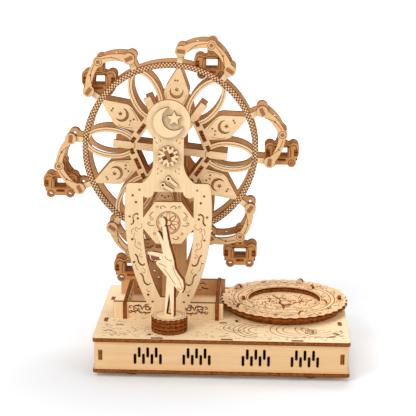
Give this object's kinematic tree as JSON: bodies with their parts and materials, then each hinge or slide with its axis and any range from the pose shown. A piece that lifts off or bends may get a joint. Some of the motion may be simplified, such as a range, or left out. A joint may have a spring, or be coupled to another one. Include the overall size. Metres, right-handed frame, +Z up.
{
  "type": "crank ferris wheel toy",
  "caption": "Plywood hand-cranked ferris wheel toy with hanging cabins, a turning dancer and a turntable on a gear box",
  "frame": {"origin": "on the table under the middle of the outline", "axes": "+X right, +Y away from the front, +Z up"},
  "size_m": [0.2497, 0.1374, 0.2558],
  "materials": {
    "plywood": "satin",
    "dowel": "satin",
    "belt": "matte",
    "brass": "satin",
    "steel": "satin"
  },
  "bodies": {
    "stand": {"deck": "plywood", "bottom_plate": "plywood", "front_wall": "plywood", "back_wall": "plywood", "left_wall": "plywood", "right_wall": "plywood", "feet": "dowel", "front_pylon": "plywood", "rear_pylon": "plywood", "left_fence": "plywood", "right_fence": "plywood", "belt_cover": "plywood", "head_ornament": "plywood", "link_plates": "plywood", "drive_belt": "belt", "movement_bedplate": "steel", "shaft_bearings": "plywood", "comb_block": "plywood", "tuned_comb": "steel"},
    "wheel": {"wheel_axle": "dowel", "axle_gear": "plywood", "axle_collars": "dowel", "axle_pulley": "plywood", "wheel_front_frame": "plywood", "wheel_rear_frame": "plywood", "front_arms": "plywood", "rear_arms": "plywood", "lug_pegs": "plywood", "cabin_pins": "dowel", "drum_plates": "plywood", "crank_arm": "plywood", "knob_pin": "dowel"},
    "cabin_1": {"cabin_1_panels": "plywood", "cabin_1_tub": "plywood"},
    "cabin_2": {"cabin_2_panels": "plywood", "cabin_2_tub": "plywood"},
    "cabin_3": {"cabin_3_panels": "plywood", "cabin_3_tub": "plywood"},
    "cabin_4": {"cabin_4_panels": "plywood", "cabin_4_tub": "plywood"},
    "cabin_5": {"cabin_5_panels": "plywood", "cabin_5_tub": "plywood"},
    "cabin_6": {"cabin_6_panels": "plywood", "cabin_6_tub": "plywood"},
    "knob": {"crank_knob": "dowel"},
    "countershaft": {"countershaft": "steel", "pinion": "plywood", "tune_cylinder": "brass", "shaft_pulley": "plywood"},
    "dancer": {"dancer_spindle": "dowel", "dancer_gear": "plywood", "pedestal_discs": "plywood", "dancer_figure": "plywood"},
    "idler": {"idler_spindle": "dowel", "idler_gear": "plywood"},
    "turntable": {"table_spindle": "dowel", "table_gear": "plywood", "table_disc": "plywood", "table_ring": "plywood", "table_tabs": "plywood"}
  },
  "joints": [
    {"name": "wheel_spin", "type": "hinge", "parent": "stand", "child": "wheel", "pos_m": [-0.02171, 0.0027, 0.1671], "axis": [0, 1, 0], "continuous": true},
    {"name": "cabin_1_swing", "type": "hinge", "parent": "wheel", "child": "cabin_1", "pos_m": [0.06768, 0.015, 0.18126], "axis": [0, 1, 0], "continuous": true},
    {"name": "cabin_2_swing", "type": "hinge", "parent": "wheel", "child": "cabin_2", "pos_m": [0.01073, 0.015, 0.25159], "axis": [0, 1, 0], "continuous": true},
    {"name": "cabin_3_swing", "type": "hinge", "parent": "wheel", "child": "cabin_3", "pos_m": [-0.07866, 0.015, 0.23743], "axis": [0, 1, 0], "continuous": true},
    {"name": "cabin_4_swing", "type": "hinge", "parent": "wheel", "child": "cabin_4", "pos_m": [-0.11109, 0.015, 0.15294], "axis": [0, 1, 0], "continuous": true},
    {"name": "cabin_5_swing", "type": "hinge", "parent": "wheel", "child": "cabin_5", "pos_m": [-0.05414, 0.015, 0.08261], "axis": [0, 1, 0], "continuous": true},
    {"name": "cabin_6_swing", "type": "hinge", "parent": "wheel", "child": "cabin_6", "pos_m": [0.03525, 0.015, 0.09677], "axis": [0, 1, 0], "continuous": true},
    {"name": "knob_spin", "type": "hinge", "parent": "wheel", "child": "knob", "pos_m": [-0.02171, 0.0556, 0.1371], "axis": [0, 1, 0], "continuous": true},
    {"name": "shaft_spin", "type": "hinge", "parent": "stand", "child": "countershaft", "pos_m": [-0.01901, -0.0314, 0.0178], "axis": [0, 1, 0], "continuous": true},
    {"name": "dancer_spin", "type": "hinge", "parent": "stand", "child": "dancer", "pos_m": [-0.01901, -0.0459, 0.0243], "axis": [0, 0, 1], "continuous": true},
    {"name": "idler_spin", "type": "hinge", "parent": "stand", "child": "idler", "pos_m": [0.02318, -0.02757, 0.0243], "axis": [0, 0, 1], "continuous": true},
    {"name": "turntable_spin", "type": "hinge", "parent": "stand", "child": "turntable", "pos_m": [0.07249, 0.0163, 0.0243], "axis": [0, 0, 1], "continuous": true}
  ],
  "couplings": [
    {"joint": "cabin_1_swing", "follows": "wheel_spin", "ratio": -1},
    {"joint": "cabin_2_swing", "follows": "wheel_spin", "ratio": -1},
    {"joint": "cabin_3_swing", "follows": "wheel_spin", "ratio": -1},
    {"joint": "cabin_4_swing", "follows": "wheel_spin", "ratio": -1},
    {"joint": "cabin_5_swing", "follows": "wheel_spin", "ratio": -1},
    {"joint": "cabin_6_swing", "follows": "wheel_spin", "ratio": -1},
    {"joint": "shaft_spin", "follows": "wheel_spin", "ratio": 1},
    {"joint": "dancer_spin", "follows": "wheel_spin", "ratio": -0.5},
    {"joint": "idler_spin", "follows": "wheel_spin", "ratio": 0.26667},
    {"joint": "turntable_spin", "follows": "wheel_spin", "ratio": -0.22222}
  ]
}
